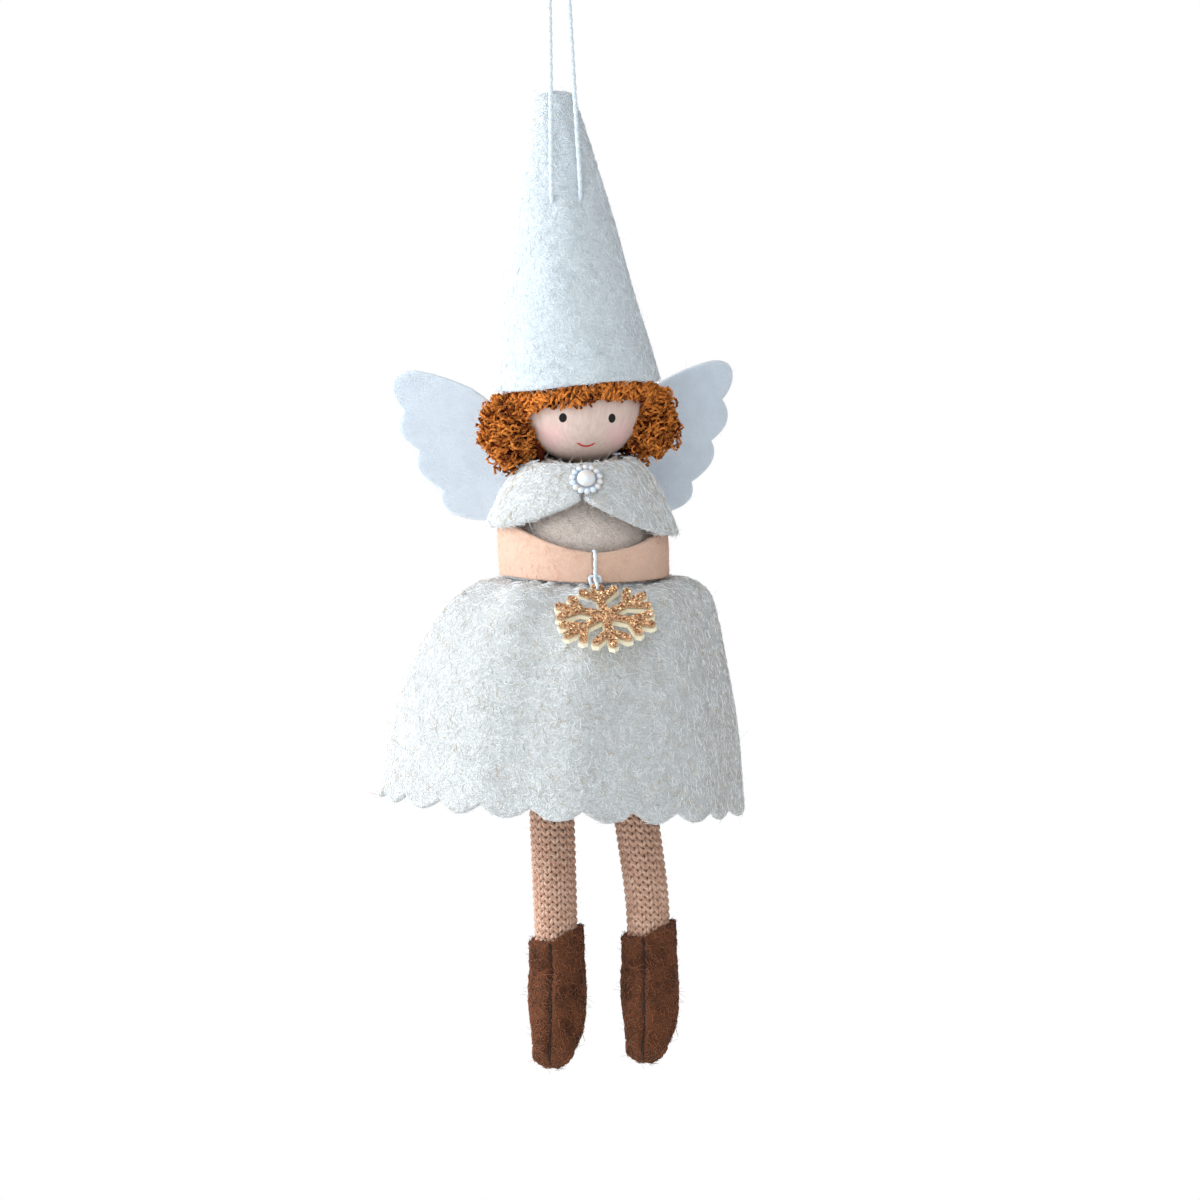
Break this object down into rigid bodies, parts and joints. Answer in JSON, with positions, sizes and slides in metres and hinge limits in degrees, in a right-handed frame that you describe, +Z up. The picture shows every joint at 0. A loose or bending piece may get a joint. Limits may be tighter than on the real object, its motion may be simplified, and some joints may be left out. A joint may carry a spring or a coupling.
{
  "type": "felt angel ornament",
  "caption": "Hanging felt angel doll with a tall cone hat, wooden ball head, curly hair, cape, wings, gathered skirt with scalloped hem, knitted legs, felt boots and a snowflake charm.",
  "frame": {"origin": "inner top of the hanging loop, where the hook carries it", "axes": "+Z up along the hanging line, the angel faces -Y, its left hand is towards +X"},
  "size_m": [0.0776, 0.0731, 0.243],
  "materials": {
    "felt_white": "thick white wool felt",
    "felt_beige": "beige wool felt",
    "felt_skin": "peach wool felt",
    "felt_brown": "brown mottled wool felt",
    "painted_wood": "pale pink stain with painted face",
    "plain_wood": "bare beech",
    "curl_yarn": "auburn curled yarn",
    "knit": "marled knitted wool",
    "wadding": "loose wadding",
    "pearl": "pearl lustre",
    "thread": "white cotton thread and cord",
    "cream_card": "cream backing",
    "gold_glitter": "copper-gold glitter"
  },
  "bodies": {
    "torso": {"bodice": "felt_beige", "bodice_stuffing": "wadding", "base_disc": "felt_white", "neck_peg": "plain_wood", "cape": "felt_white", "arms": "felt_skin", "hand_thread": "thread", "head_ball": "painted_wood", "hat": "felt_white", "hat_stuffing": "wadding", "hair_fringe": "curl_yarn", "hair_right_bunch": "curl_yarn", "hair_left_bunch": "curl_yarn", "hair_back": "curl_yarn", "brooch_setting": "pearl", "brooch_pearl": "pearl", "skirt": "felt_white", "waist_tie": "thread", "wings": "felt_white", "hanging_cord": "thread", "cord_knot": "thread"},
    "right_hip": {"right_hip_knot": "thread"},
    "left_hip": {"left_hip_knot": "thread"},
    "right_leg": {"right_leg_knit": "knit", "right_leg_filling": "wadding", "right_boot_outer_panel": "felt_brown", "right_boot_inner_panel": "felt_brown", "right_boot_stuffing": "wadding"},
    "left_leg": {"left_leg_knit": "knit", "left_leg_filling": "wadding", "left_boot_outer_panel": "felt_brown", "left_boot_inner_panel": "felt_brown", "left_boot_stuffing": "wadding"},
    "charm_loop": {"charm_thread": "thread"},
    "snowflake": {"snowflake_back": "cream_card", "snowflake_glitter_face": "gold_glitter"}
  },
  "joints": [
    {"name": "right_leg_swing", "type": "hinge", "parent": "torso", "child": "right_hip", "pos_m": [-0.0062, 0.0089, -0.15218], "axis": [-1, 0, 0], "range_deg": [-25, 25]},
    {"name": "right_leg_splay", "type": "hinge", "parent": "right_hip", "child": "right_leg", "pos_m": [-0.0062, 0.0089, -0.15218], "axis": [0, 1, 0], "range_deg": [-1.5, 8]},
    {"name": "left_leg_swing", "type": "hinge", "parent": "torso", "child": "left_hip", "pos_m": [0.0102, 0.0089, -0.15218], "axis": [-1, 0, 0], "range_deg": [-25, 25]},
    {"name": "left_leg_splay", "type": "hinge", "parent": "left_hip", "child": "left_leg", "pos_m": [0.0102, 0.0089, -0.15218], "axis": [0, -1, 0], "range_deg": [-1.5, 8]},
    {"name": "charm_lift", "type": "hinge", "parent": "torso", "child": "charm_loop", "pos_m": [0.002, -0.00865, -0.1447], "axis": [-1, 0, 0], "range_deg": [0, 50]},
    {"name": "charm_sway", "type": "hinge", "parent": "charm_loop", "child": "snowflake", "pos_m": [0.002, -0.01216, -0.14794], "axis": [-0.073, -0.5466, 0.8342], "range_deg": [-20, 20]}
  ]
}
